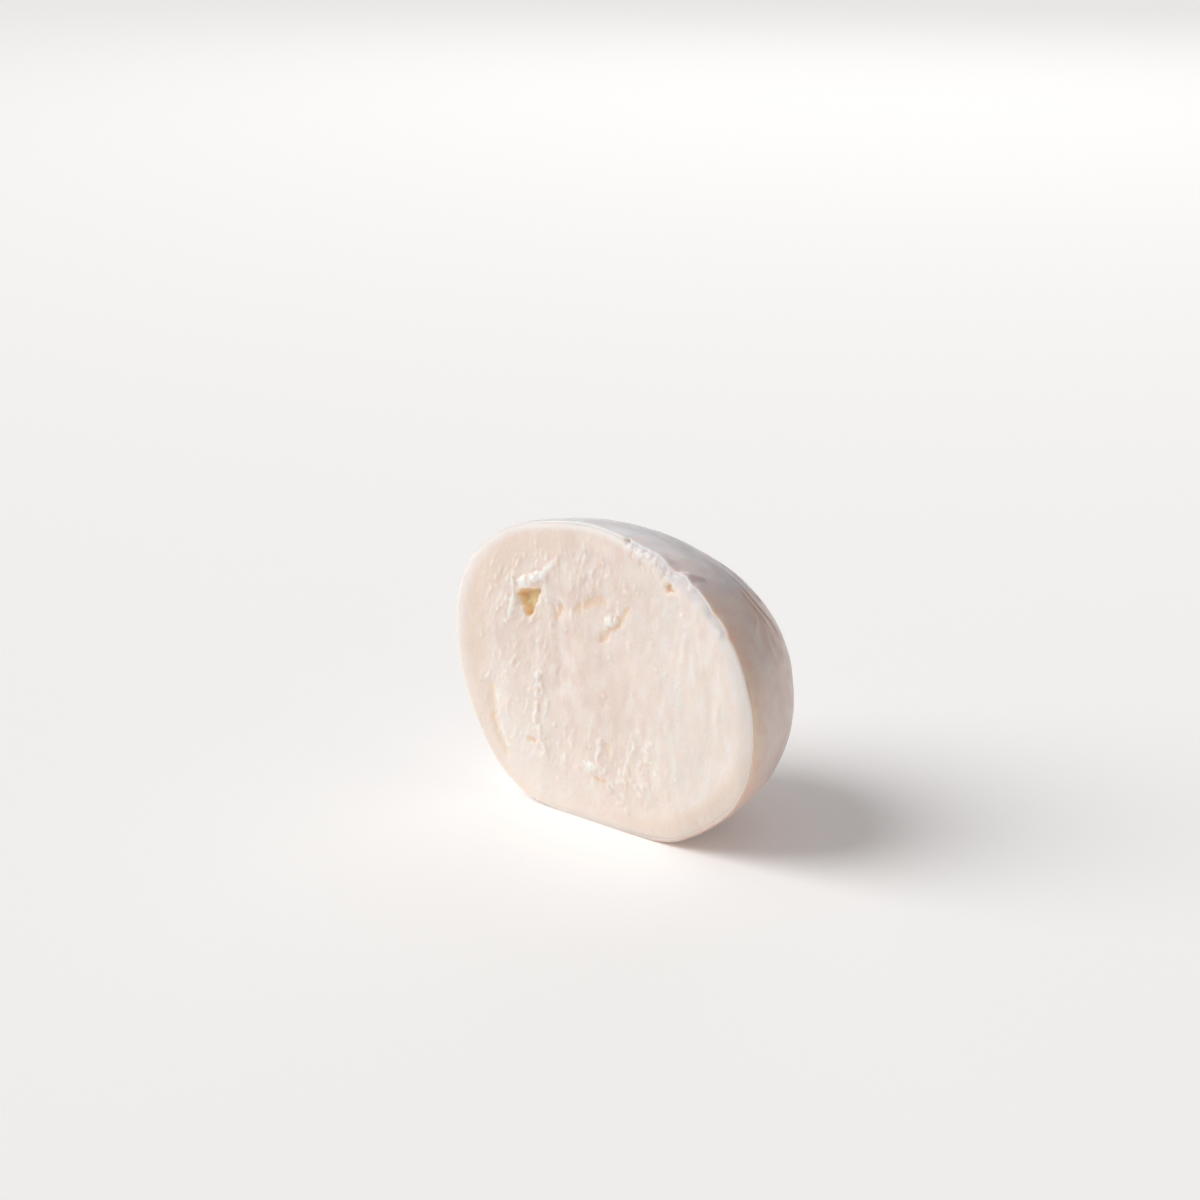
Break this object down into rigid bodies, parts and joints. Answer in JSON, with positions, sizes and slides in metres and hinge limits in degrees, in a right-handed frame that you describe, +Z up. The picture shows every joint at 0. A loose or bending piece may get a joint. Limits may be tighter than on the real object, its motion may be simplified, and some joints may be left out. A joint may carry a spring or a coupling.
{
  "type": "burrata half",
  "caption": "Half of a soft round fresh cheese, cut upright and resting on its flattened underside: a smooth stretched-curd pouch round a coarser curd filling.",
  "frame": {"origin": "on the table, under the middle of the half's bounding box", "axes": "+X to the right seen from in front of the cut, +Y into the cheese away from the cut, +Z up"},
  "size_m": [0.078, 0.0419, 0.0626],
  "materials": {
    "pouch": "smooth wet stretched curd, cream white, slightly translucent",
    "filling": "moist cut curd, warm cream, fine grain"
  },
  "bodies": {
    "root": {"pouch": "pouch", "filling": "filling"}
  },
  "joints": []
}
